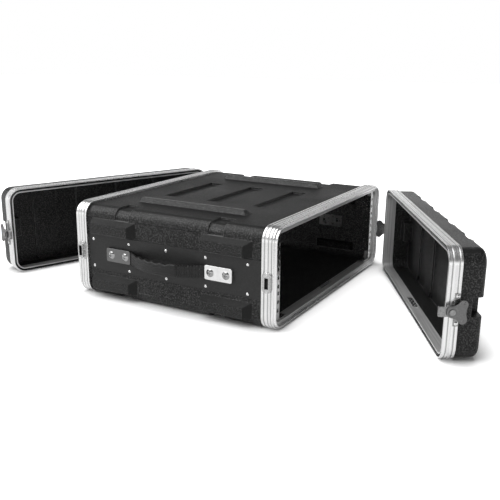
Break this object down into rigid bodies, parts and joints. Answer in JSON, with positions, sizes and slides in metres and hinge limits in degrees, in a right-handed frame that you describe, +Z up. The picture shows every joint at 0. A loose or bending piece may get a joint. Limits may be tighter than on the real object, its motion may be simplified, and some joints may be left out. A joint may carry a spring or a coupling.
{
  "type": "equipment rack case",
  "caption": "Shallow black moulded rack case with aluminium-edged front and rear lids that lift off, turn latches, side handles and rack rails.",
  "frame": {"origin": "on the ground, under the middle of the case's body, on the flat underside", "axes": "+Z up, -Y out of the front door, +X to the right as seen from the front"},
  "size_m": [0.584, 1.0311, 0.1895],
  "materials": {
    "shell_abs": "textured",
    "panel_abs": "satin",
    "frame_aluminium": "mill",
    "zinc": "satin",
    "latch_zinc": "satin",
    "chrome_plate": "polished",
    "rivet_aluminium": "satin",
    "handle_rubber": "matte",
    "seal_rubber": "matte",
    "spring_steel": "satin"
  },
  "bodies": {
    "case": {"case_shell": "shell_abs", "front_frame": "frame_aluminium", "front_frame_splice": "frame_aluminium", "handle_backing_front_left": "spring_steel", "handle_backing_front_right": "spring_steel", "handle_backing_rear_left": "spring_steel", "handle_backing_rear_right": "spring_steel", "handle_cap_front_left": "chrome_plate", "handle_cap_front_right": "chrome_plate", "handle_cap_rear_left": "chrome_plate", "handle_cap_rear_right": "chrome_plate", "handle_grip_left": "handle_rubber", "handle_grip_right": "handle_rubber", "handle_screws": "chrome_plate", "handle_strap_left": "spring_steel", "handle_strap_right": "spring_steel", "keeper_front_left": "zinc", "keeper_front_right": "zinc", "keeper_rear_left": "zinc", "keeper_rear_right": "zinc", "keeper_rivets": "rivet_aluminium", "panel_rivets": "rivet_aluminium", "rack_rail_front_left": "zinc", "rack_rail_front_right": "zinc", "rack_rail_rear_left": "zinc", "rack_rail_rear_right": "zinc", "rail_screws": "zinc", "rear_frame": "frame_aluminium", "rear_frame_splice": "frame_aluminium", "side_panel_left": "panel_abs", "side_panel_right": "panel_abs"},
    "front_lid": {"front_lid_frame": "frame_aluminium", "front_lid_latch_pin_left": "latch_zinc", "front_lid_latch_pin_right": "latch_zinc", "front_lid_latch_plate_left": "latch_zinc", "front_lid_latch_plate_right": "latch_zinc", "front_lid_latch_rivets": "rivet_aluminium", "front_lid_seal": "seal_rubber", "front_lid_shell": "shell_abs", "front_lid_splice": "frame_aluminium"},
    "rear_lid": {"rear_lid_frame": "frame_aluminium", "rear_lid_latch_pin_left": "latch_zinc", "rear_lid_latch_pin_right": "latch_zinc", "rear_lid_latch_plate_left": "latch_zinc", "rear_lid_latch_plate_right": "latch_zinc", "rear_lid_latch_rivets": "rivet_aluminium", "rear_lid_seal": "seal_rubber", "rear_lid_shell": "shell_abs", "rear_lid_splice": "frame_aluminium"},
    "front_hook_left": {"front_lid_latch_hook_left": "latch_zinc"},
    "front_hook_right": {"front_lid_latch_hook_right": "latch_zinc"},
    "front_wing_left": {"front_lid_latch_wing_left": "latch_zinc"},
    "front_wing_right": {"front_lid_latch_wing_right": "latch_zinc"},
    "rear_hook_left": {"rear_lid_latch_hook_left": "latch_zinc"},
    "rear_hook_right": {"rear_lid_latch_hook_right": "latch_zinc"},
    "rear_wing_left": {"rear_lid_latch_wing_left": "latch_zinc"},
    "rear_wing_right": {"rear_lid_latch_wing_right": "latch_zinc"}
  },
  "joints": [
    {"name": "front_lid_swing", "type": "hinge", "parent": "case", "child": "front_lid", "pos_m": [0.2547, -0.3275, 0.093], "axis": [0, 0, 1], "range_deg": [-29, 0]},
    {"name": "front_wing_left_turn", "type": "hinge", "parent": "front_lid", "child": "front_wing_left", "pos_m": [-0.24095, -0.51478, 0.09], "axis": [-0.8746, -0.4848, 0], "range_deg": [0, 180]},
    {"name": "front_hook_left_draw", "type": "slide", "parent": "front_lid", "child": "front_hook_left", "axis": [0.4848, -0.8746, 0], "range_m": [0, 0.0042]},
    {"name": "front_wing_right_turn", "type": "hinge", "parent": "front_lid", "child": "front_wing_right", "pos_m": [0.23064, -0.25337, 0.09], "axis": [0.8746, 0.4848, 0], "range_deg": [-180, 0]},
    {"name": "front_hook_right_draw", "type": "slide", "parent": "front_lid", "child": "front_hook_right", "axis": [0.4848, -0.8746, 0], "range_m": [-0.0042, 0]},
    {"name": "rear_lid_swing", "type": "hinge", "parent": "case", "child": "rear_lid", "pos_m": [0.2213, 0.29, 0.093], "axis": [0, 0, 1], "range_deg": [0, 20.8]},
    {"name": "rear_wing_left_turn", "type": "hinge", "parent": "rear_lid", "child": "rear_wing_left", "pos_m": [-0.24808, 0.43674, 0.09], "axis": [-0.9348, 0.3551, 0], "range_deg": [0, 180]},
    {"name": "rear_hook_left_draw", "type": "slide", "parent": "rear_lid", "child": "rear_hook_left", "axis": [0.3551, 0.9348, 0], "range_m": [0, 0.0042]},
    {"name": "rear_wing_right_turn", "type": "hinge", "parent": "rear_lid", "child": "rear_wing_right", "pos_m": [0.25598, 0.24527, 0.09], "axis": [0.9348, -0.3551, 0], "range_deg": [0, 180]},
    {"name": "rear_hook_right_draw", "type": "slide", "parent": "rear_lid", "child": "rear_hook_right", "axis": [0.3551, 0.9348, 0], "range_m": [0, 0.0042]}
  ],
  "couplings": [
    {"joint": "front_hook_left_draw", "follows": "front_wing_left_turn", "m_per_rad": 0.0013369},
    {"joint": "front_hook_right_draw", "follows": "front_wing_right_turn", "m_per_rad": 0.0013369},
    {"joint": "rear_hook_left_draw", "follows": "rear_wing_left_turn", "m_per_rad": 0.0013369},
    {"joint": "rear_hook_right_draw", "follows": "rear_wing_right_turn", "m_per_rad": 0.0013369}
  ]
}
